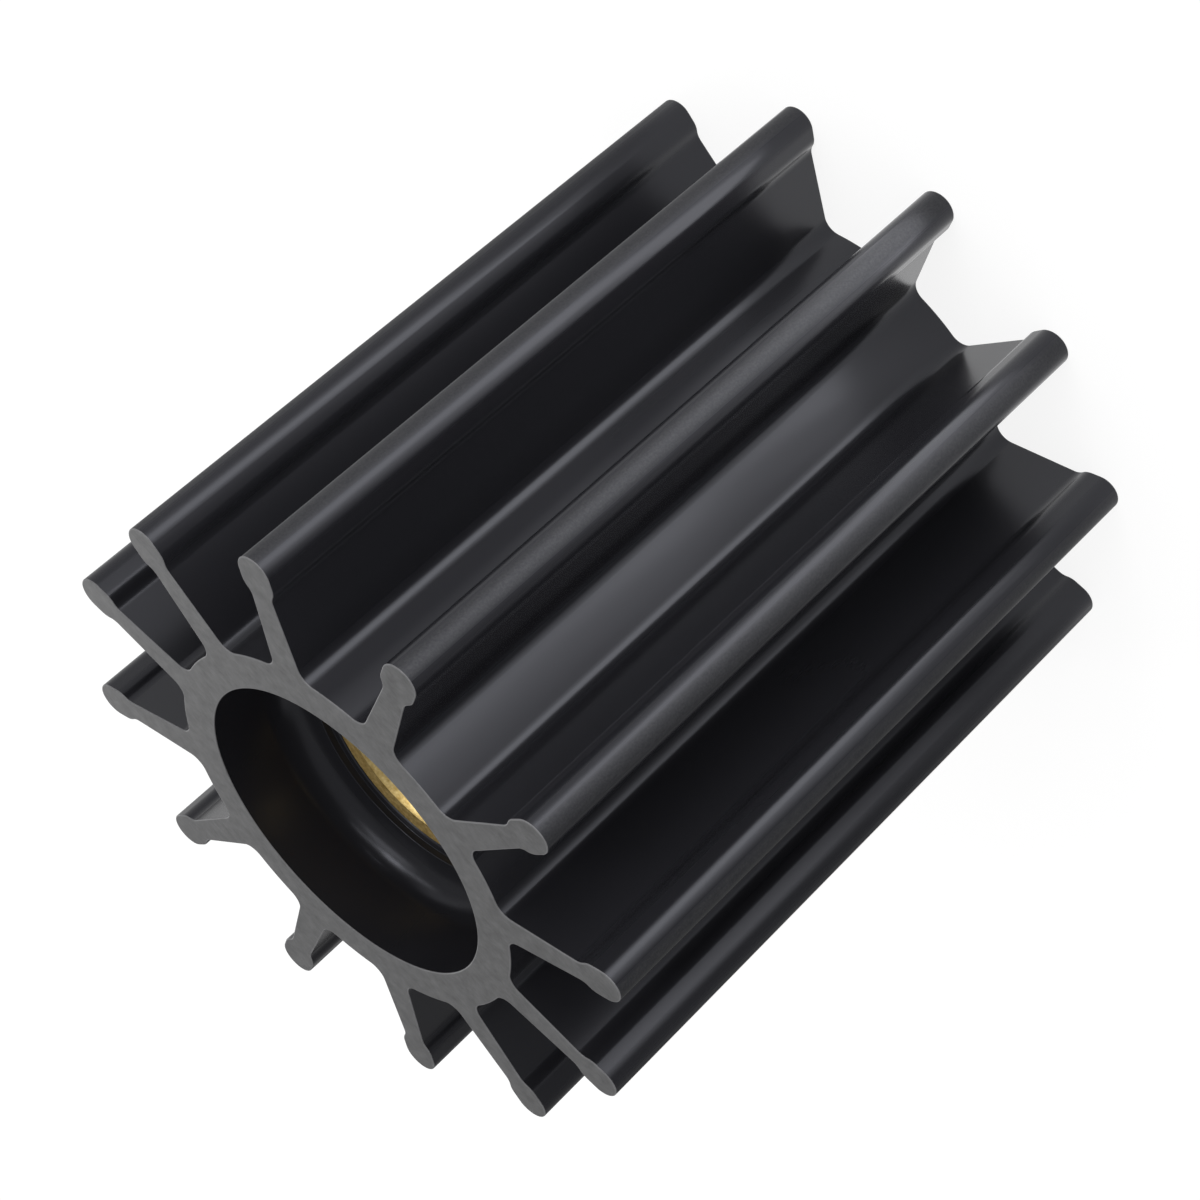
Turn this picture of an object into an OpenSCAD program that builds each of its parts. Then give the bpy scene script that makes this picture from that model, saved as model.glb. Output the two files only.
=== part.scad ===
// Flexible pump impeller: a moulded rubber star of bulb-tipped blades, bonded on a brass shaft insert.
// The axis is Z. The impeller stands on one end face, with the origin at that face's centre.
// Both ends are alike: a round recess, a rubber lip and the bare end of the insert.

/* [Overall] */
// Diameter over the blade tips
tip_d = 95.25; // [90:0.25:104]
// Length of the hub and its blades, between the two cut end faces
body_len = 101.6; // [80:0.2:130]

/* [Blades] */
// Number of blades
blade_count = 12; // [8:1:14]
// Thickness of a blade where it leaves the hub
blade_root_t = 4.85; // [4:0.05:6]
// Thickness of a blade at its neck, just below the bulb
blade_neck_t = 3.45; // [2.8:0.05:4]
// Diameter of the bulb that runs along each blade's tip
bulb_d = 5.25; // [4.8:0.05:6.5]
// Straight stretch in the bulb's section, between its inner and outer round ends
bulb_flat = 1.4; // [0.4:0.1:3]
// Radius of the fillets at each blade's root and under its bulb
fillet_r = 2.3; // [1:0.1:2.8]

/* [Hub] */
// Outside diameter of the rubber hub between the blades
hub_d = 57.1; // [54:0.1:60]

/* [End recesses] */
// Diameter of the recess in each end of the hub
recess_d = 46.1; // [42:0.1:48]
// Depth of each recess, from the end face to its floor
recess_depth = 13.2; // [8:0.1:20]
// Radius of the round corner where a recess's wall meets its floor
recess_corner_r = 5; // [1:0.1:5.2]
// Thickness of the rubber lip that covers the rim of the insert's end faces
lip_t = 1.3; // [0.8:0.1:2]

/* [Insert] */
// Outside diameter of the insert, bonded inside the hub
insert_d = 40; // [38:0.5:42]
// Diameter of the insert's bare end face, inside the rubber lip
bare_face_d = 33.2; // [31:0.1:35]
// Diameter of the shaft bore
bore_d = 25.4; // [19:0.1:27]
// Width of the chamfer at each mouth of the bore
bore_chamfer = 1.5; // [0.5:0.1:1.8]
// Width of the keyway along the bore
keyway_w = 6.35; // [4:0.05:8]
// Depth of the keyway, from the bore's wall outwards
keyway_depth = 2.8; // [1.5:0.1:3]

/* [Hidden] */
$fn = 96;

// How far a cut runs past the face that it opens
past = 1;
// How deep a fillet's outline starts inside the two shapes that it joins
sink = 0.5;
// How far tangent rounds cut into each other, so that they cross cleanly
bite = 0.003;

hub_r = hub_d / 2;
bulb_r = bulb_d / 2;
// Distances from the axis to the bulb's outer and inner round ends, and to the neck below them
bulb_outer_x = tip_d / 2 - bulb_r;
bulb_inner_x = bulb_outer_x - bulb_flat;
neck_x = bulb_inner_x - bulb_r;

// A blade's flank is a straight line: its slope, its normal, and its distance from the axis
flank_a = atan((blade_root_t - blade_neck_t) / 2 / (neck_x - hub_r));
flank_normal = [sin(flank_a), cos(flank_a)];
flank_along = [cos(flank_a), -sin(flank_a)];
flank_dist = hub_r * sin(flank_a) + blade_root_t / 2 * cos(flank_a);

// The insert lies between the two lips
insert_z = recess_depth + lip_t;
insert_len = body_len - 2 * insert_z;

// The lip opens outwards at 45 degrees, and the recess's corner stops short of its mouth
lip_mouth_r = bare_face_d / 2 + lip_t;
floor_min_w = 0.1;
corner_r = min(recess_corner_r, recess_d / 2 - lip_mouth_r - floor_min_w);

// Half of a blade's thickness, at a distance from the axis
function half_t(x) = (flank_dist - x * flank_normal.x) / flank_normal.y;

// Centre of the fillet between the flank and a round of radius r on the blade's centre line at x,
// on the round's outer side (1) or inner side (-1)
function fillet_centre(x, r, side) =
    let (across = flank_dist + fillet_r - x * flank_normal.x)
    let (along = sqrt((r + fillet_r) ^ 2 - across ^ 2))
    [x, 0] + across * flank_normal + side * along * flank_along;

// The two fillets between a blade's flanks and a round on its centre line, as for fillet_centre
module flank_fillets(x, r, side) {
    centre = fillet_centre(x, r, side);
    in_round = [x, 0] + (centre - [x, 0]) * (r - sink) / (r + fillet_r);
    in_blade = centre - (fillet_r + sink) * flank_normal;
    upper = [in_round, centre, in_blade];
    lower = [for (i = [2 : -1 : 0]) [upper[i].x, -upper[i].y]];
    difference() {
        polygon(concat(upper, lower));
        translate(centre) circle(r = fillet_r + bite);
        translate([centre.x, -centre.y]) circle(r = fillet_r + bite);
    }
}

module blade_outline() {
    polygon([
        [0, -half_t(0)], [bulb_inner_x, -half_t(bulb_inner_x)],
        [bulb_inner_x, half_t(bulb_inner_x)], [0, half_t(0)]
    ]);
    flank_fillets(0, hub_r, 1);
    flank_fillets(bulb_inner_x, bulb_r, -1);
    translate([bulb_inner_x, 0]) circle(r = bulb_r);
    translate([bulb_inner_x, bite - bulb_r]) square([bulb_flat, bulb_d - 2 * bite]);
    translate([bulb_outer_x, 0]) circle(r = bulb_r);
}

module star() {
    cylinder(r = hub_r, h = body_len);
    for (i = [0 : blade_count - 1]) {
        rotate(i * 360 / blade_count) linear_extrude(body_len) blade_outline();
    }
}

// Half section of the recess: z = 0 is the end face, and the floor lies below it
module recess_section() {
    wall_r = recess_d / 2;
    translate([0, -recess_depth]) square([wall_r - corner_r, recess_depth + past]);
    translate([0, corner_r - recess_depth]) square([wall_r, recess_depth - corner_r + past]);
    translate([wall_r - corner_r, corner_r - recess_depth]) circle(r = corner_r);
}

// Everything that is cut from one end of the rubber, down to the insert's bare face
module end_opening() {
    rotate_extrude() recess_section();
    translate([0, 0, -insert_z]) cylinder(r1 = bare_face_d / 2, r2 = lip_mouth_r, h = lip_t);
}

module rubber_body() {
    color("#26262a")
    difference() {
        star();
        translate([0, 0, body_len]) end_opening();
        mirror([0, 0, 1]) end_opening();
        translate([0, 0, insert_z]) cylinder(d = insert_d, h = insert_len);
    }
}

// Cone that chamfers one mouth of the bore, opening upwards at z = 0
module mouth_chamfer() {
    translate([0, 0, -bore_chamfer]) {
        cylinder(d1 = bore_d, d2 = bore_d + 2 * bore_chamfer + 2 * past, h = bore_chamfer + past);
    }
}

module brass_insert() {
    color("#c8a250")
    translate([0, 0, insert_z])
    difference() {
        cylinder(d = insert_d, h = insert_len);
        translate([0, 0, -past]) cylinder(d = bore_d, h = insert_len + 2 * past);
        translate([0, -keyway_w / 2, -past]) cube([bore_d / 2 + keyway_depth, keyway_w, insert_len + 2 * past]);
        translate([0, 0, insert_len]) mouth_chamfer();
        mirror([0, 0, 1]) mouth_chamfer();
    }
}

rubber_body();
brass_insert();
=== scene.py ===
"""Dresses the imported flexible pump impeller: the moulded rubber star, its brass shaft insert and
the stage.

Lengths are metres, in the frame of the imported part: the axis is Z, and the impeller stands on
one end face.
"""

import math

import bmesh
import bpy
from bpy.props import FloatProperty, FloatVectorProperty, PointerProperty
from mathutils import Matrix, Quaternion, Vector


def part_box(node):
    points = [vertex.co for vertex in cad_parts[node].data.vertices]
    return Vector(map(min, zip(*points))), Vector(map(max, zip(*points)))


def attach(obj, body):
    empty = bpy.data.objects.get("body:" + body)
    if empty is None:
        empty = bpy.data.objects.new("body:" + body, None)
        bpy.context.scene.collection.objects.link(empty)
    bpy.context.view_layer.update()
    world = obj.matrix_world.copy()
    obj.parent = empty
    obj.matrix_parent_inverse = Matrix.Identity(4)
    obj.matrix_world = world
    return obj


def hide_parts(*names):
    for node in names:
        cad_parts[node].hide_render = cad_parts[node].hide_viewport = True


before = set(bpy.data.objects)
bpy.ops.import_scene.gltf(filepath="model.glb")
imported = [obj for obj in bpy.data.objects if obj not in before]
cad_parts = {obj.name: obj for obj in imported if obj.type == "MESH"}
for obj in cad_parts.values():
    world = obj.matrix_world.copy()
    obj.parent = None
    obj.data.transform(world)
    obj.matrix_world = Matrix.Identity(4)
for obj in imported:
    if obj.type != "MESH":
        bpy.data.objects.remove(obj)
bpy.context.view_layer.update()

bl_info = {
    "name": "Flexible pump impeller",
    "version": (1, 0, 0),
    "blender": (4, 5, 0),
    "location": "3D View > Sidebar > Impeller",
    "description": "Models the rubber star and the brass insert of a flexible pump impeller",
    "category": "Object",
}

# Points closer than this count as one, and faces closer than this to an end as lying on it
NEAR = 2e-6

BLADES = 12
HALF_PITCH = math.pi / BLADES

# Steps along the rounds and lengths of the star's section and of the pieces
CROWN_STEPS = 12
UNDER_BULB_STEPS = 6
BULB_FILLET_STEPS = 8
FLANK_STEPS = 6
ROOT_FILLET_STEPS = 10
HUB_STEPS = 5
LENGTH_STEPS = 8
CORNER_STEPS = 12
HALF_PITCH_STEPS = 12
INSERT_STEPS = 192

# Length of the keyway's cutter, as a share of the insert's, so that it runs past both ends
CUTTER_LENGTH = 1.1

# Turns between faces above which the rubber's and the brass's edges are rounded, and above which
# an edge is shaded sharp
RUBBER_EDGE = math.radians(35)
BRASS_EDGE = math.radians(30)
SHARP_EDGE = math.radians(30)

# Material slots of the rubber's cut ends and of their rounded edges, after the moulded rubber's.
# The edges' lighter colour is a painted highlight
CUT, HIGHLIT_EDGE = 1, 2

# How far below the tips the buffed crests start, and from where on they are buffed all over
CREST_START = 0.00045
CREST_FULL = 0.00012

# The way the ends were ground, in the plane of the cut
GRINDING_WAY = math.radians(20)

# Sockets of a Mix node that mixes colours: its factor, its two colours and its result. Names
# don't find them, because the node has others for numbers under the same names
MIX_FACTOR, MIX_FIRST, MIX_SECOND, MIX_RESULT = 0, 6, 7, 2

# The camera of the photograph, above the near end and rolled, so that the axis runs from the
# lower left corner to the upper right one. Its lens is long, with a focal length in millimetres
CAMERA_PLACE = (-0.119436, 0.345468, 0.244646)
CAMERA_TURN = (0.7140859, -0.5001206, 0.1288856, 0.4725984)
CAMERA_LENS = 92.322
CAMERA_CLIP = (0.01, 20)

# The floor's side, and its look to the camera: plain white, and on top of it a share of the light
# that falls on it, which keeps the shadow
FLOOR_SIDE = 6
FLOOR_WHITE = 0.86
FLOOR_SHADE = 0.18

# The floor as polished surfaces mirror it glows, though it is no lamp: a painted reflection that is
# brighter at the impeller's foot than farther out, with a painted dark patch to one side
FLOOR_OUT = 0.62
FLOOR_FOOT = 1.1
FLOOR_FOOT_REACH = (0.045, 0.065)
FLOOR_DARK = 0.12
FLOOR_DARK_WAY = (math.cos(math.radians(10)), math.sin(math.radians(10)), 0)
FLOOR_DARK_REACH = (0.03, 0.12)

# The studio lights the impeller evenly from all round. As it is mirrored or seen, it is a white
# backdrop that ends at a height, with a dim ceiling above it, and it is dark up to a height on
# the side of +Y. The heights and the side are a ray's Z and Y, from where to where they blend
STUDIO_LIGHT = 0.8
BACKDROP_TOP = (0.34, 0.6)
CEILING = 0.4
DARK_LEVEL = 0.03
DARK_TOP = (0.62, 0.8)
DARK_SIDE = (-0.1, 0.3)

# Softboxes that face the impeller: azimuth and elevation in degrees, width and height, and
# brightness, where 1 is white
SOFTBOX_REACH = 0.8
SOFTBOXES = {
    "softbox_front": (135, 8, (0.24, 0.24), 4.5),
    "softbox_behind": (270, 15, (0.24, 0.24), 6.5),
    "softbox_above": (150, 44, (0.16, 0.16), 6.5),
    "softbox_high": (150, 62, (0.4, 0.16), 2.4),
    "strip_above": (150, 46, (0.9, 0.1), 2.8),
}

# Light panels that lie on the floor and face up, brighter towards their middle. Each row has its
# nearest and farthest distance from the axis and its share of the brightness. In a row, each
# panel has its azimuth in degrees, its width as a share of the row's farthest distance, its
# brightness and its height, because panels at one height would hide each other
PANEL_ROWS = {"near": (0.05, 0.1, 0.9), "middle": (0.1, 0.2, 1), "far": (0.2, 0.4, 1)}
PANELS = {
    "wide": (117, 0.94, 0.8, 0.002),
    "medium": (119, 0.62, 0.7, 0.003),
    "peak": (122, 0.34, 2.2, 0.004),
}


def mm(value):
    """Millimetres in metres."""
    return value / 1000


def linear(hex_colour):
    """Linear red, green and blue of an sRGB hex colour."""
    levels = (int(hex_colour[start : start + 2], 16) / 255 for start in (1, 3, 5))
    return tuple(
        level / 12.92 if level <= 0.04045 else ((level + 0.055) / 1.055) ** 2.4
        for level in levels
    )


class ImpellerSizes(bpy.types.PropertyGroup):
    """Sizes of the impeller's sections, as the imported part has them"""

    tip_radius: FloatProperty(
        name="Tip radius",
        description="From the axis to the crown of each bulb",
        default=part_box("rubber_body")[1].x,
        unit="LENGTH",
    )
    body_length: FloatProperty(
        name="Body length",
        description="Between the two cut end faces",
        default=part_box("rubber_body")[1].z,
        unit="LENGTH",
    )
    hub_radius: FloatProperty(
        name="Hub radius",
        description="From the axis to the hub's outside between the blades",
        default=mm(28.55),
        unit="LENGTH",
    )
    blade_root: FloatProperty(
        name="Blade root",
        description="Thickness of a blade where it leaves the hub",
        default=mm(4.85),
        unit="LENGTH",
    )
    blade_neck: FloatProperty(
        name="Blade neck",
        description="Thickness of a blade just below its bulb",
        default=mm(3.45),
        unit="LENGTH",
    )
    bulb_radius: FloatProperty(
        name="Bulb radius",
        description="Radius of the bulb's inner and outer round ends",
        default=mm(2.625),
        unit="LENGTH",
    )
    bulb_flat: FloatProperty(
        name="Bulb flat",
        description="Straight stretch between the bulb's round ends",
        default=mm(1.4),
        unit="LENGTH",
    )
    fillet: FloatProperty(
        name="Blade fillet",
        description="Radius of the fillets at each blade's root and under its bulb",
        default=mm(2.3),
        unit="LENGTH",
    )
    recess_radius: FloatProperty(
        name="Recess radius",
        description="Radius of the round recess in each end",
        default=mm(23.05),
        unit="LENGTH",
    )
    recess_depth: FloatProperty(
        name="Recess depth",
        description="From the end face to the recess's floor",
        default=mm(13.2),
        unit="LENGTH",
    )
    recess_corner: FloatProperty(
        name="Recess corner",
        description="Radius of the round corner between the recess's wall and floor",
        default=mm(5),
        unit="LENGTH",
    )
    lip: FloatProperty(
        name="Lip",
        description="Thickness of the rubber lip over the rim of the insert",
        default=mm(1.3),
        unit="LENGTH",
    )
    flash: FloatProperty(
        name="Lip flash",
        description="Thickness of the flash at the lip's foot, where it thins out over the insert",
        default=mm(0.3),
        unit="LENGTH",
    )
    bare_radius: FloatProperty(
        name="Bare face radius",
        description="Radius of the insert's bare end face, inside the lip",
        default=mm(16.6),
        unit="LENGTH",
    )
    insert_radius: FloatProperty(
        name="Insert radius",
        description="Radius of the brass insert",
        default=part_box("brass_insert")[1].x,
        unit="LENGTH",
    )
    bore_radius: FloatProperty(
        name="Bore radius",
        description="Radius of the shaft bore",
        default=mm(12.7),
        unit="LENGTH",
    )
    bore_chamfer: FloatProperty(
        name="Bore chamfer",
        description="Width of the chamfer at each mouth of the bore",
        default=mm(1.5),
        unit="LENGTH",
    )
    keyway_width: FloatProperty(
        name="Keyway width",
        description="Width of the keyway along the bore",
        default=mm(6.35),
        unit="LENGTH",
    )
    keyway_depth: FloatProperty(
        name="Keyway depth",
        description="Depth of the keyway, from the bore's wall",
        default=mm(2.8),
        unit="LENGTH",
    )
    edge_rounding: FloatProperty(
        name="Edge rounding",
        description="Width of the small rounding on the rubber's cut edges",
        default=mm(0.18),
        unit="LENGTH",
    )
    brass_edge: FloatProperty(
        name="Brass edge",
        description="Width of the small rounding on the brass edges",
        default=mm(0.15),
        unit="LENGTH",
    )


class ImpellerFinish(bpy.types.PropertyGroup):
    """Colours and finishes of the impeller"""

    moulded_rubber: FloatVectorProperty(
        name="Moulded rubber",
        description="Colour of the rubber's moulded surfaces",
        default=linear("#1b1b1e"),
        subtype="COLOR",
        min=0,
        max=1,
    )
    cut_rubber: FloatVectorProperty(
        name="Cut rubber",
        description="Colour of the rubber where it is cut at the ends",
        default=linear("#353536"),
        subtype="COLOR",
        min=0,
        max=1,
    )
    buffed_rubber: FloatVectorProperty(
        name="Buffed rubber",
        description="Colour of the rubber's dull grain along the buffed crests",
        default=linear("#2d2d2e"),
        subtype="COLOR",
        min=0,
        max=1,
    )
    ground_rubber: FloatVectorProperty(
        name="Ground rubber",
        description="Lighter colour in the clouds and marks of the cut ends",
        default=linear("#59595a"),
        subtype="COLOR",
        min=0,
        max=1,
    )
    # Painted highlight: the rounded edges of the cut ends are coloured lighter, as if they caught
    # the light
    edge_highlight_rubber: FloatVectorProperty(
        name="Painted edge highlight",
        description="Lighter colour on the rounded edges of the cut ends, a painted highlight",
        default=linear("#6c6c6e"),
        subtype="COLOR",
        min=0,
        max=1,
    )
    sheen: FloatVectorProperty(
        name="Rubber sheen",
        description="Tint of the reflections on the moulded rubber",
        default=linear("#eff1fc"),
        subtype="COLOR",
        min=0,
        max=1,
    )
    brass: FloatVectorProperty(
        name="Brass",
        description="Colour of the machined brass",
        default=linear("#e6cf92"),
        subtype="COLOR",
        min=0,
        max=1,
    )
    tarnished_brass: FloatVectorProperty(
        name="Tarnished brass",
        description="Colour of the brass where it has dulled",
        default=linear("#b99a58"),
        subtype="COLOR",
        min=0,
        max=1,
    )
    floor: FloatVectorProperty(
        name="Floor",
        description="Colour of the floor",
        default=linear("#f4f4f4"),
        subtype="COLOR",
        min=0,
        max=1,
    )


# Drawing and selecting, as by hand


def new_mesh(name):
    """An empty mesh object, in edit mode."""
    bpy.ops.object.select_all(action="DESELECT")
    bpy.ops.mesh.primitive_plane_add(size=mm(1), location=(0, 0, 0))
    piece = bpy.context.object
    piece.name = piece.data.name = name
    bpy.ops.object.mode_set(mode="EDIT")
    bpy.ops.mesh.delete(type="VERT")
    return piece


def start_point(place):
    """Adds one vertex at a place to the mesh in edit mode, and leaves it selected."""
    bpy.ops.mesh.select_all(action="DESELECT")
    bpy.ops.mesh.primitive_plane_add(size=mm(1), location=(0, 0, 0))
    bpy.ops.mesh.merge(type="CENTER")
    bpy.ops.transform.translate(value=place)


def draw(offset):
    """Extrudes the selection by an offset."""
    bpy.ops.mesh.extrude_region_move(TRANSFORM_OT_translate={"value": offset})


def sweep(centre, angle, steps, axis=(0, 0, 1)):
    """Sweeps the selection round an axis, anticlockwise seen from the axis's tip."""
    bpy.ops.mesh.spin(
        steps=steps, angle=angle, center=centre, axis=[-part for part in axis]
    )


def select_where(piece, test):
    """Selects the vertices that pass a test, with the edges and faces between them."""
    mesh = bmesh.from_edit_mesh(piece.data)
    for vertex in mesh.verts:
        vertex.select = False
    for part in (*mesh.edges, *mesh.faces):
        part.select = False
    for vertex in mesh.verts:
        vertex.select = bool(test(vertex.co))
    mesh.select_flush(True)
    bmesh.update_edit_mesh(piece.data)


def tidy_mesh():
    """Merges doubles and turns the faces outwards, in edit mode."""
    bpy.ops.mesh.select_all(action="SELECT")
    bpy.ops.mesh.remove_doubles(threshold=NEAR)
    bpy.ops.mesh.normals_make_consistent(inside=False)


def apply_modifier(piece, name, kind, **settings):
    """Adds a modifier with its settings and applies it."""
    modifier = piece.modifiers.new(name, kind)
    for setting, value in settings.items():
        setattr(modifier, setting, value)
    bpy.ops.object.modifier_apply(modifier=name)


def smooth(piece):
    """Smooth shading that keeps large faces flat and sharp edges sharp."""
    bpy.ops.object.shade_smooth_by_angle(angle=SHARP_EDGE)
    apply_modifier(
        piece, "normals", "WEIGHTED_NORMAL", mode="FACE_AREA", weight=100, keep_sharp=True
    )


# The rubber star


def blade_flank(sizes):
    """The slope of a blade's flank from its centre line, and the flank's distance from the axis."""
    neck = sizes.tip_radius - 2 * sizes.bulb_radius - sizes.bulb_flat
    slope = math.atan(
        (sizes.blade_root - sizes.blade_neck) / 2 / (neck - sizes.hub_radius)
    )
    reach = sizes.hub_radius * math.sin(slope)
    return slope, reach + sizes.blade_root / 2 * math.cos(slope)


def fillet_centre(sizes, place, radius, side):
    """Centre of the fillet between a flank and a round at a place on the blade's centre line.

    The side is -1 for a fillet on the round's side towards the axis, and 1 for one away from it.
    """
    slope, reach = blade_flank(sizes)
    across = reach + sizes.fillet - place * math.sin(slope)
    along = side * math.sqrt((radius + sizes.fillet) ** 2 - across**2)
    return Vector(
        (
            place + across * math.sin(slope) + along * math.cos(slope),
            across * math.cos(slope) - along * math.sin(slope),
            0,
        )
    )


def draw_half_outline(sizes):
    """Draws half a blade and half a gap of the star's section, from a bulb's crown to mid-gap."""
    outer = sizes.tip_radius - sizes.bulb_radius
    inner = outer - sizes.bulb_flat
    slope = blade_flank(sizes)[0]
    under_bulb = fillet_centre(sizes, inner, sizes.bulb_radius, -1)
    at_root = fillet_centre(sizes, 0, sizes.hub_radius, 1)
    level = Vector((0, 0, sizes.body_length))
    flank_turn = math.radians(270) - slope

    sweep(Vector((outer, 0, 0)) + level, math.pi / 2, CROWN_STEPS)
    draw((-sizes.bulb_flat, 0, 0))
    to_fillet = math.atan2(under_bulb.y, under_bulb.x - inner)
    sweep(Vector((inner, 0, 0)) + level, to_fillet - math.pi / 2, UNDER_BULB_STEPS)
    sweep(under_bulb + level, flank_turn - to_fillet - math.pi, BULB_FILLET_STEPS)
    for _ in range(FLANK_STEPS):
        draw((at_root - under_bulb) / FLANK_STEPS)
    to_hub = math.atan2(at_root.y, at_root.x)
    sweep(at_root + level, to_hub + math.pi - flank_turn, ROOT_FILLET_STEPS)
    sweep(level, HALF_PITCH - to_hub, HUB_STEPS)


def draw_half_inside(sizes):
    """Draws the recess, the lip and the insert's seat in half section, down to mid-length.

    The lip's wall is plumb, and its foot thins out to flash over the insert's rim.
    """
    corner = sizes.recess_corner
    lip_mouth = sizes.bare_radius + sizes.lip
    floor = sizes.body_length - sizes.recess_depth
    seat = floor - sizes.lip
    draw((0, 0, corner - sizes.recess_depth))
    centre = (sizes.recess_radius - corner, 0, floor + corner)
    sweep(centre, math.pi / 2, CORNER_STEPS, axis=(0, 1, 0))
    draw((lip_mouth - sizes.recess_radius + corner, 0, 0))
    draw((0, 0, sizes.flash - sizes.lip))
    draw((sizes.flash - sizes.lip, 0, 0))
    draw((-sizes.flash, 0, -sizes.flash))
    draw((sizes.insert_radius - sizes.bare_radius, 0, 0))
    draw((0, 0, sizes.body_length / 2 - seat))


def draw_quarter(piece, sizes):
    """Draws the walls of a quarter of one blade's sector.

    It is half a blade and half a gap, from the upper end down to mid-length.
    """
    top = sizes.body_length
    start_point((sizes.tip_radius, 0, top))
    draw_half_outline(sizes)
    bpy.ops.mesh.select_all(action="SELECT")
    for _ in range(LENGTH_STEPS):
        draw((0, 0, -top / 2 / LENGTH_STEPS))

    start_point((sizes.recess_radius, 0, top))
    draw_half_inside(sizes)
    select_where(
        piece, lambda place: place.y == 0 and place.x < sizes.recess_radius + NEAR
    )
    sweep((0, 0, 0), HALF_PITCH, HALF_PITCH_STEPS)
    bpy.ops.mesh.select_all(action="SELECT")
    bpy.ops.mesh.remove_doubles(threshold=NEAR)


def close_end(piece, sizes):
    """Joins the recess's rim to the outline at both sides, and fills the end face between them."""
    top = sizes.body_length
    mid_blade = Vector((1, 0))
    mid_gap = Vector((math.cos(HALF_PITCH), math.sin(HALF_PITCH)))
    for ends in (
        (mid_blade * sizes.recess_radius, mid_blade * sizes.tip_radius),
        (mid_gap * sizes.recess_radius, mid_gap * sizes.hub_radius),
    ):
        select_where(
            piece,
            lambda place, ends=ends: place.z > top - NEAR
            and any((place.xy - end).length < NEAR for end in ends),
        )
        bpy.ops.mesh.edge_face_add()
    select_where(piece, lambda place: place.z > top - NEAR)
    bpy.ops.mesh.edge_face_add()


def repeat_quarter(piece, sizes):
    """Mirrors the quarter across its blade, copies it round the axis and mirrors end to end."""
    bpy.ops.object.mode_set(mode="OBJECT")
    apply_modifier(
        piece, "blade", "MIRROR", use_axis=(False, True, False), merge_threshold=NEAR
    )
    bpy.ops.object.mode_set(mode="EDIT")
    bpy.ops.mesh.select_all(action="SELECT")
    for _ in range(BLADES - 1):
        bpy.ops.mesh.duplicate()
        bpy.ops.transform.rotate(
            value=2 * HALF_PITCH, orient_axis="Z", center_override=(0, 0, 0)
        )
    bpy.ops.mesh.select_all(action="SELECT")
    bpy.ops.mesh.duplicate()
    bpy.ops.transform.resize(
        value=(1, 1, -1), center_override=(0, 0, sizes.body_length / 2)
    )


def build_rubber_body(sizes):
    """The rubber star with its recesses."""
    piece = new_mesh("rubber_star")
    draw_quarter(piece, sizes)
    close_end(piece, sizes)
    repeat_quarter(piece, sizes)
    tidy_mesh()
    bpy.ops.object.mode_set(mode="OBJECT")
    apply_modifier(
        piece,
        "edges",
        "BEVEL",
        width=sizes.edge_rounding,
        segments=3,
        limit_method="ANGLE",
        angle_limit=RUBBER_EDGE,
    )
    smooth(piece)
    return piece


def cut_keyway(piece, sizes, low, high):
    """Cuts the keyway along the whole bore, on the side of +X."""
    bpy.ops.object.select_all(action="DESELECT")
    reach = sizes.bore_radius + sizes.keyway_depth
    bpy.ops.mesh.primitive_cube_add(
        size=1,
        location=(reach / 2, 0, (low + high) / 2),
        scale=(reach, sizes.keyway_width, CUTTER_LENGTH * (high - low)),
    )
    cutter = bpy.context.object
    bpy.ops.object.select_all(action="DESELECT")
    piece.select_set(True)
    bpy.context.view_layer.objects.active = piece
    apply_modifier(
        piece, "keyway", "BOOLEAN", operation="DIFFERENCE", object=cutter, solver="EXACT"
    )
    bpy.data.objects.remove(cutter)


def build_brass_insert(sizes):
    """The brass insert, turned in half section and cut by its keyway."""
    low = sizes.recess_depth + sizes.lip
    high = sizes.body_length - low
    chamfer = sizes.bore_chamfer
    piece = new_mesh("turned_insert")
    start_point((sizes.insert_radius, 0, high))
    draw((sizes.bore_radius + chamfer - sizes.insert_radius, 0, 0))
    draw((-chamfer, 0, -chamfer))
    draw((0, 0, low - high + 2 * chamfer))
    draw((chamfer, 0, -chamfer))
    draw((sizes.insert_radius - sizes.bore_radius - chamfer, 0, 0))
    draw((0, 0, high - low))
    bpy.ops.mesh.select_all(action="SELECT")
    sweep((0, 0, 0), 2 * math.pi, INSERT_STEPS)
    tidy_mesh()
    bpy.ops.object.mode_set(mode="OBJECT")
    cut_keyway(piece, sizes, low, high)
    apply_modifier(
        piece,
        "edges",
        "BEVEL",
        width=sizes.brass_edge,
        segments=2,
        limit_method="ANGLE",
        angle_limit=BRASS_EDGE,
    )
    smooth(piece)
    return piece


# Materials


def per_mm(count):
    """Scale of a pattern that has this many marks, grains or rings in a millimetre."""
    return count / mm(1)


def add_node(tree, kind, settings=None, inputs=None):
    """Adds a node with its settings, and sets or links its inputs by name or number."""
    node = tree.nodes.new(kind)
    for name, value in (settings or {}).items():
        setattr(node, name, value)
    for socket, value in (inputs or {}).items():
        if isinstance(value, bpy.types.NodeSocket):
            tree.links.new(value, node.inputs[socket])
        else:
            node.inputs[socket].default_value = value
    return node


def new_material(name):
    """A material with an empty node tree, and the tree."""
    material = bpy.data.materials.new(name)
    material.use_nodes = True
    material.node_tree.nodes.clear()
    return material, material.node_tree


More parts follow.
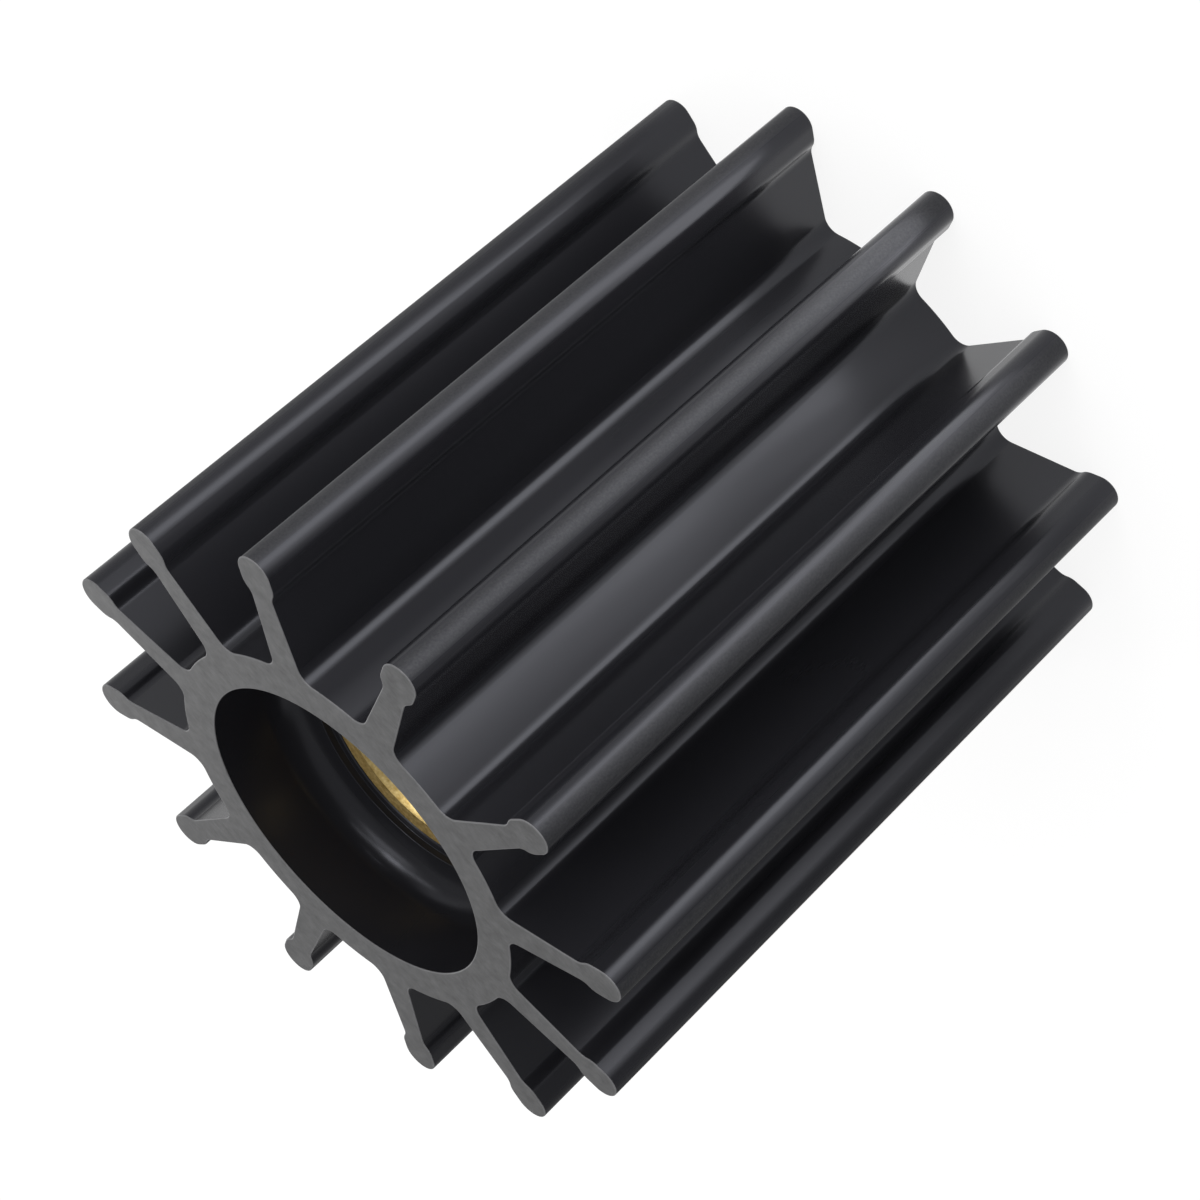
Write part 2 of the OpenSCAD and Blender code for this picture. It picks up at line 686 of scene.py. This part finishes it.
def moulded_rubber(sizes, finish):
    """Compression-moulded neoprene: satin black, and duller along the crests, where the mould's
    flash was buffed off. The mould's polish marks run along the axis."""
    material, tree = new_material("moulded_neoprene")
    place = add_node(tree, "ShaderNodeTexCoord").outputs["Object"]

    # Polish marks about 1 mm apart, 25 times as long, and slow waves about 15 mm apart
    along = add_node(
        tree, "ShaderNodeMapping", inputs={"Vector": place, "Scale": (1, 1, 0.04)}
    )
    marks = add_node(
        tree,
        "ShaderNodeTexNoise",
        inputs={
            "Vector": along.outputs[0],
            "Scale": per_mm(0.9),
            "Detail": 3,
            "Roughness": 0.6,
        },
    )
    along = add_node(
        tree, "ShaderNodeMapping", inputs={"Vector": place, "Scale": (1, 1, 0.4)}
    )
    waves = add_node(
        tree,
        "ShaderNodeTexNoise",
        inputs={"Vector": along.outputs[0], "Scale": per_mm(0.07), "Detail": 1},
    )
    # A grain of about 0.3 mm, drawn coarser than the real bloom so that it shows
    grain = add_node(
        tree,
        "ShaderNodeTexNoise",
        inputs={
            "Vector": place,
            "Scale": per_mm(3.3),
            "Detail": 2,
            "Roughness": 0.7,
        },
    )
    flat = add_node(
        tree, "ShaderNodeMapping", inputs={"Vector": place, "Scale": (1, 1, 0)}
    )
    reach = add_node(
        tree,
        "ShaderNodeVectorMath",
        {"operation": "LENGTH"},
        {0: flat.outputs[0]},
    )
    crest = add_node(
        tree,
        "ShaderNodeMapRange",
        {"interpolation_type": "SMOOTHSTEP"},
        {
            "Value": reach.outputs["Value"],
            "From Min": sizes.tip_radius - CREST_START,
            "From Max": sizes.tip_radius - CREST_FULL,
        },
    ).outputs[0]
    dust = add_node(
        tree,
        "ShaderNodeMapRange",
        inputs={
            "Value": grain.outputs[0],
            "From Min": 0.35,
            "From Max": 0.7,
            "To Max": crest,
        },
    )
    colour = add_node(
        tree,
        "ShaderNodeMix",
        {"data_type": "RGBA"},
        {
            MIX_FACTOR: dust.outputs[0],
            MIX_FIRST: (*finish.moulded_rubber, 1),
            MIX_SECOND: (*finish.buffed_rubber, 1),
        },
    )
    rough = add_node(
        tree,
        "ShaderNodeMapRange",
        inputs={"Value": crest, "To Min": 0.25, "To Max": 0.52},
    )
    bump = add_node(
        tree,
        "ShaderNodeBump",
        inputs={"Strength": 0.4, "Distance": mm(0.1), "Height": waves.outputs[0]},
    )
    bump = add_node(
        tree,
        "ShaderNodeBump",
        inputs={
            "Strength": 0.12,
            "Distance": mm(0.03),
            "Height": marks.outputs[0],
            "Normal": bump.outputs[0],
        },
    )
    grit = add_node(
        tree,
        "ShaderNodeMapRange",
        inputs={"Value": crest, "To Min": 0, "To Max": 0.6},
    )
    bump = add_node(
        tree,
        "ShaderNodeBump",
        inputs={
            "Strength": grit.outputs[0],
            "Distance": mm(0.03),
            "Height": grain.outputs[0],
            "Normal": bump.outputs[0],
        },
    )
    shader = add_node(
        tree,
        "ShaderNodeBsdfPrincipled",
        inputs={
            "Base Color": colour.outputs[MIX_RESULT],
            "Roughness": rough.outputs[0],
            "Specular IOR Level": 0.35,
            "Specular Tint": (*finish.sheen, 1),
            "Normal": bump.outputs[0],
        },
    )
    add_node(
        tree, "ShaderNodeOutputMaterial", inputs={"Surface": shader.outputs[0]}
    )
    return material


def cut_rubber(name, dark, light):
    """Neoprene cut to length and ground: matt and greyer, clouded, with fine grinding marks."""
    material, tree = new_material(name)
    place = add_node(tree, "ShaderNodeTexCoord").outputs["Object"]
    # Clouds about 2 mm across, and grinding marks about 0.3 mm apart and four times as long
    cloud = add_node(
        tree,
        "ShaderNodeTexNoise",
        inputs={
            "Vector": place,
            "Scale": per_mm(0.5),
            "Detail": 5,
            "Roughness": 0.7,
        },
    )
    along = add_node(
        tree,
        "ShaderNodeMapping",
        {"vector_type": "TEXTURE"},
        {"Vector": place, "Rotation": (0, 0, GRINDING_WAY), "Scale": (4, 1, 1)},
    )
    marks = add_node(
        tree,
        "ShaderNodeTexNoise",
        inputs={
            "Vector": along.outputs[0],
            "Scale": per_mm(3),
            "Detail": 3,
            "Roughness": 0.7,
        },
    )
    blend = add_node(
        tree,
        "ShaderNodeMix",
        inputs={"Factor": 0.35, "A": cloud.outputs[0], "B": marks.outputs[0]},
    )
    shade = add_node(
        tree,
        "ShaderNodeMapRange",
        inputs={"Value": blend.outputs[0], "From Min": 0.3, "From Max": 0.7},
    )
    colour = add_node(
        tree,
        "ShaderNodeMix",
        {"data_type": "RGBA"},
        {
            MIX_FACTOR: shade.outputs[0],
            MIX_FIRST: (*dark, 1),
            MIX_SECOND: (*light, 1),
        },
    )
    bump = add_node(
        tree,
        "ShaderNodeBump",
        inputs={"Strength": 0.3, "Distance": mm(0.03), "Height": marks.outputs[0]},
    )
    shader = add_node(
        tree,
        "ShaderNodeBsdfPrincipled",
        inputs={
            "Base Color": colour.outputs[MIX_RESULT],
            "Roughness": 0.6,
            "Normal": bump.outputs[0],
        },
    )
    add_node(
        tree, "ShaderNodeOutputMaterial", inputs={"Surface": shader.outputs[0]}
    )
    return material


def machined_brass(sizes, finish):
    """Free-cutting brass, turned: fine rings from the tool, a few handling scratches, and a
    slightly uneven tarnish."""
    material, tree = new_material("turned_brass")
    place = add_node(tree, "ShaderNodeTexCoord").outputs["Object"]
    flat = add_node(
        tree, "ShaderNodeMapping", inputs={"Vector": place, "Scale": (1, 1, 0)}
    )
    reach = add_node(
        tree,
        "ShaderNodeVectorMath",
        {"operation": "LENGTH"},
        {0: flat.outputs[0]},
    )
    # Rings 0.25 mm apart, scratches 0.4 mm apart and 17 times as long, and stains of about 0.8 mm
    rings = add_node(
        tree,
        "ShaderNodeTexNoise",
        {"noise_dimensions": "1D"},
        {
            "W": reach.outputs["Value"],
            "Scale": per_mm(4),
            "Detail": 2,
            "Roughness": 0.7,
        },
    )
    along = add_node(
        tree, "ShaderNodeMapping", inputs={"Vector": place, "Scale": (1, 0.06, 0.06)}
    )
    scratches = add_node(
        tree,
        "ShaderNodeTexNoise",
        inputs={"Vector": along.outputs[0], "Scale": per_mm(2.5), "Detail": 2},
    )
    tarnish = add_node(
        tree,
        "ShaderNodeTexNoise",
        inputs={
            "Vector": place,
            "Scale": per_mm(1.3),
            "Detail": 4,
            "Roughness": 0.7,
        },
    )
    stain = add_node(
        tree,
        "ShaderNodeMapRange",
        inputs={"Value": tarnish.outputs[0], "From Min": 0.35, "From Max": 0.65},
    )
    colour = add_node(
        tree,
        "ShaderNodeMix",
        {"data_type": "RGBA"},
        {
            MIX_FACTOR: stain.outputs[0],
            MIX_FIRST: (*finish.brass, 1),
            MIX_SECOND: (*finish.tarnished_brass, 1),
        },
    )
    # The faced end is duller than the chamfer inside it, and they blend across the edge between
    rough = add_node(
        tree,
        "ShaderNodeMapRange",
        inputs={
            "Value": reach.outputs["Value"],
            "From Min": sizes.bore_radius + 0.7 * sizes.bore_chamfer,
            "From Max": sizes.bore_radius + 1.3 * sizes.bore_chamfer,
            "To Min": 0.3,
            "To Max": 0.75,
        },
    )
    bump = add_node(
        tree,
        "ShaderNodeBump",
        inputs={"Strength": 0.5, "Distance": mm(0.03), "Height": rings.outputs[0]},
    )
    bump = add_node(
        tree,
        "ShaderNodeBump",
        inputs={
            "Strength": 0.25,
            "Distance": mm(0.01),
            "Height": scratches.outputs[0],
            "Normal": bump.outputs[0],
        },
    )
    shader = add_node(
        tree,
        "ShaderNodeBsdfPrincipled",
        inputs={
            "Base Color": colour.outputs[MIX_RESULT],
            "Metallic": 1,
            "Roughness": rough.outputs[0],
            "Normal": bump.outputs[0],
        },
    )
    add_node(
        tree, "ShaderNodeOutputMaterial", inputs={"Surface": shader.outputs[0]}
    )
    return material


def background_ray(tree):
    """1 for the rays that see the background, as a camera, polished metal or glass does."""
    path = add_node(tree, "ShaderNodeLightPath")
    seen = add_node(
        tree,
        "ShaderNodeMath",
        {"operation": "MAXIMUM"},
        {0: path.outputs["Is Camera Ray"], 1: path.outputs["Is Glossy Ray"]},
    )
    return add_node(
        tree,
        "ShaderNodeMath",
        {"operation": "MAXIMUM"},
        {0: seen.outputs[0], 1: path.outputs["Is Transmission Ray"]},
    ).outputs[0]


def white_floor(finish):
    """A matt white studio sheet, seen as almost white with a faint shadow of the impeller. To
    mirrored rays it glows with a painted reflection, brighter at the foot and dark to one side.
    """
    material, tree = new_material("matt_white_sheet")
    sheet = add_node(
        tree, "ShaderNodeBsdfDiffuse", inputs={"Color": (*finish.floor, 1)}
    )
    shaded = add_node(
        tree,
        "ShaderNodeBsdfDiffuse",
        inputs={"Color": (FLOOR_SHADE, FLOOR_SHADE, FLOOR_SHADE, 1)},
    )
    place = add_node(tree, "ShaderNodeTexCoord").outputs["Object"]
    reach = add_node(
        tree, "ShaderNodeVectorMath", {"operation": "LENGTH"}, {0: place}
    )
    # Painted reflection: the floor's glow to mirrored rays, brighter at the impeller's foot and
    # dark to one side
    foot = add_node(
        tree,
        "ShaderNodeMapRange",
        {"interpolation_type": "SMOOTHSTEP"},
        {
            "Value": reach.outputs["Value"],
            "From Min": FLOOR_FOOT_REACH[0],
            "From Max": FLOOR_FOOT_REACH[1],
            "To Min": FLOOR_FOOT,
            "To Max": FLOOR_OUT,
        },
    )
    sideways = add_node(
        tree,
        "ShaderNodeVectorMath",
        {"operation": "DOT_PRODUCT"},
        {0: place, 1: FLOOR_DARK_WAY},
    )
    mirrored = add_node(
        tree,
        "ShaderNodeMapRange",
        {"interpolation_type": "SMOOTHSTEP"},
        {
            "Value": sideways.outputs["Value"],
            "From Min": FLOOR_DARK_REACH[0],
            "From Max": FLOOR_DARK_REACH[1],
            "To Min": foot.outputs[0],
            "To Max": FLOOR_DARK,
        },
    )
    path = add_node(tree, "ShaderNodeLightPath")
    level = add_node(
        tree,
        "ShaderNodeMapRange",
        inputs={
            "Value": path.outputs["Is Camera Ray"],
            "To Min": mirrored.outputs[0],
            "To Max": FLOOR_WHITE,
        },
    )
    white = add_node(
        tree,
        "ShaderNodeEmission",
        inputs={"Color": (1, 1, 1, 1), "Strength": level.outputs[0]},
    )
    seen = add_node(
        tree, "ShaderNodeAddShader", inputs={0: shaded.outputs[0], 1: white.outputs[0]}
    )
    shader = add_node(
        tree,
        "ShaderNodeMixShader",
        inputs={0: background_ray(tree), 1: sheet.outputs[0], 2: seen.outputs[0]},
    )
    add_node(
        tree, "ShaderNodeOutputMaterial", inputs={"Surface": shader.outputs[0]}
    )
    return material


def white_studio():
    """A world seen as a white backdrop under a dim ceiling, which lights at a lower level."""
    world = bpy.data.worlds.new("studio")
    world.use_nodes = True
    tree = world.node_tree
    tree.nodes.clear()
    way = add_node(tree, "ShaderNodeTexCoord").outputs["Generated"]
    ray = add_node(tree, "ShaderNodeSeparateXYZ", inputs={"Vector": way})
    backdrop = add_node(
        tree,
        "ShaderNodeMapRange",
        {"interpolation_type": "SMOOTHSTEP"},
        {
            "Value": ray.outputs["Z"],
            "From Min": BACKDROP_TOP[0],
            "From Max": BACKDROP_TOP[1],
            "To Min": 1,
            "To Max": CEILING,
        },
    )
    dark_side = add_node(
        tree,
        "ShaderNodeMapRange",
        {"interpolation_type": "SMOOTHSTEP"},
        {
            "Value": ray.outputs["Z"],
            "From Min": DARK_TOP[0],
            "From Max": DARK_TOP[1],
            "To Min": DARK_LEVEL,
            "To Max": CEILING,
        },
    )
    room = add_node(
        tree,
        "ShaderNodeMapRange",
        {"interpolation_type": "SMOOTHSTEP"},
        {
            "Value": ray.outputs["Y"],
            "From Min": DARK_SIDE[0],
            "From Max": DARK_SIDE[1],
            "To Min": backdrop.outputs[0],
            "To Max": dark_side.outputs[0],
        },
    )
    level = add_node(
        tree,
        "ShaderNodeMapRange",
        inputs={
            "Value": background_ray(tree),
            "To Min": STUDIO_LIGHT,
            "To Max": room.outputs[0],
        },
    )
    white = add_node(
        tree,
        "ShaderNodeBackground",
        inputs={"Color": (1, 1, 1, 1), "Strength": level.outputs[0]},
    )
    add_node(
        tree, "ShaderNodeOutputWorld", inputs={"Surface": white.outputs[0]}
    )
    return world


def soft_lamp(name, place, turn, size, brightness):
    """A rectangular soft light of a given brightness, not seen by the camera itself."""
    light = bpy.data.lights.new(name, "AREA")
    light.shape = "RECTANGLE"
    light.size, light.size_y = size
    # An area lamp's power spreads over pi times its area
    light.energy = brightness * math.pi * light.size * light.size_y
    lamp = bpy.data.objects.new(name, light)
    bpy.context.scene.collection.objects.link(lamp)
    lamp.location = place
    lamp.rotation_mode = "QUATERNION"
    lamp.rotation_quaternion = turn
    lamp.visible_camera = False


def add_lamps(middle):
    """The softboxes round the middle of the impeller, and the light panels on the floor."""
    for name, (azimuth, elevation, size, brightness) in SOFTBOXES.items():
        turn, rise = math.radians(azimuth), math.radians(elevation)
        out = Vector(
            (
                math.cos(rise) * math.cos(turn),
                math.cos(rise) * math.sin(turn),
                math.sin(rise),
            )
        )
        place = middle + SOFTBOX_REACH * out
        soft_lamp(name, place, out.to_track_quat("Z", "Y"), size, brightness)
    face_up = Quaternion((1, 0, 0), math.pi)
    for row, (near, far, share) in PANEL_ROWS.items():
        for name, (azimuth, width, brightness, height) in PANELS.items():
            round_axis = Quaternion((0, 0, 1), math.radians(azimuth))
            soft_lamp(
                f"panel_{row}_{name}",
                round_axis @ Vector(((near + far) / 2, 0, height)),
                round_axis @ face_up,
                (far - near, width * far),
                share * brightness,
            )


class IMPELLER_OT_rubber_body(bpy.types.Operator):
    """Model the moulded rubber star, with its end recesses and lips"""

    bl_idname = "impeller.rubber_body"
    bl_label = "Rubber body"

    def execute(self, context):
        sizes, finish = context.scene.impeller_sizes, context.scene.impeller_finish
        piece = build_rubber_body(sizes)
        for material in (
            moulded_rubber(sizes, finish),
            cut_rubber("cut_neoprene", finish.cut_rubber, finish.ground_rubber),
            # The edges' material is lighter than the cut ends': a painted highlight
            cut_rubber("edge_highlight_neoprene", finish.ground_rubber, finish.edge_highlight_rubber),
        ):
            piece.data.materials.append(material)
        # The end faces are cut, and the small roundings along their edges are coloured lighter: a
        # painted highlight where they catch the light
        for face in piece.data.polygons:
            to_end = min(face.center.z, sizes.body_length - face.center.z)
            if to_end < NEAR:
                face.material_index = CUT
            elif to_end < sizes.edge_rounding:
                face.material_index = HIGHLIT_EDGE
        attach(piece, "root")
        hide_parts("rubber_body")
        return {"FINISHED"}


class IMPELLER_OT_brass_insert(bpy.types.Operator):
    """Model the brass shaft insert, with its bore, chamfers and keyway"""

    bl_idname = "impeller.brass_insert"
    bl_label = "Brass insert"

    def execute(self, context):
        sizes, finish = context.scene.impeller_sizes, context.scene.impeller_finish
        piece = build_brass_insert(sizes)
        piece.data.materials.append(machined_brass(sizes, finish))
        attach(piece, "root")
        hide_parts("brass_insert")
        return {"FINISHED"}


class IMPELLER_OT_stage(bpy.types.Operator):
    """Set the floor, the soft lights and the camera of the photograph"""

    bl_idname = "impeller.stage"
    bl_label = "Stage"

    def execute(self, context):
        finish = context.scene.impeller_finish
        bpy.ops.object.select_all(action="DESELECT")
        bpy.ops.mesh.primitive_plane_add(size=FLOOR_SIDE, location=(0, 0, 0))
        floor = context.object
        floor.name = "floor"
        floor.data.materials.append(white_floor(finish))

        context.scene.world = white_studio()
        add_lamps(Vector((0, 0, context.scene.impeller_sizes.body_length / 2)))

        lens = bpy.data.cameras.new("camera")
        lens.lens = CAMERA_LENS
        lens.clip_start, lens.clip_end = CAMERA_CLIP
        camera = bpy.data.objects.new("camera", lens)
        context.scene.collection.objects.link(camera)
        camera.rotation_mode = "QUATERNION"
        camera.location = CAMERA_PLACE
        camera.rotation_quaternion = Quaternion(CAMERA_TURN)
        context.scene.camera = camera
        context.scene.view_settings.view_transform = "Standard"
        return {"FINISHED"}


class IMPELLER_PT_panel(bpy.types.Panel):
    """The impeller's pieces, sizes and colours"""

    bl_idname = "IMPELLER_PT_panel"
    bl_label = "Impeller"
    bl_space_type = "VIEW_3D"
    bl_region_type = "UI"
    bl_category = "Impeller"

    def draw(self, context):
        for operator in OPERATORS:
            self.layout.operator(operator.bl_idname)
        for group in (context.scene.impeller_sizes, context.scene.impeller_finish):
            box = self.layout.box()
            for name in group.__annotations__:
                box.prop(group, name)


OPERATORS = (
    IMPELLER_OT_rubber_body,
    IMPELLER_OT_brass_insert,
    IMPELLER_OT_stage,
)
CLASSES = (ImpellerSizes, ImpellerFinish, *OPERATORS, IMPELLER_PT_panel)


def register():
    for item in CLASSES:
        bpy.utils.register_class(item)
    bpy.types.Scene.impeller_sizes = PointerProperty(type=ImpellerSizes)
    bpy.types.Scene.impeller_finish = PointerProperty(type=ImpellerFinish)


def unregister():
    del bpy.types.Scene.impeller_finish
    del bpy.types.Scene.impeller_sizes
    for item in reversed(CLASSES):
        bpy.utils.unregister_class(item)


def main():
    register()
    bpy.ops.impeller.rubber_body()
    bpy.ops.impeller.brass_insert()
    bpy.ops.impeller.stage()


if __name__ == "__main__":
    main()
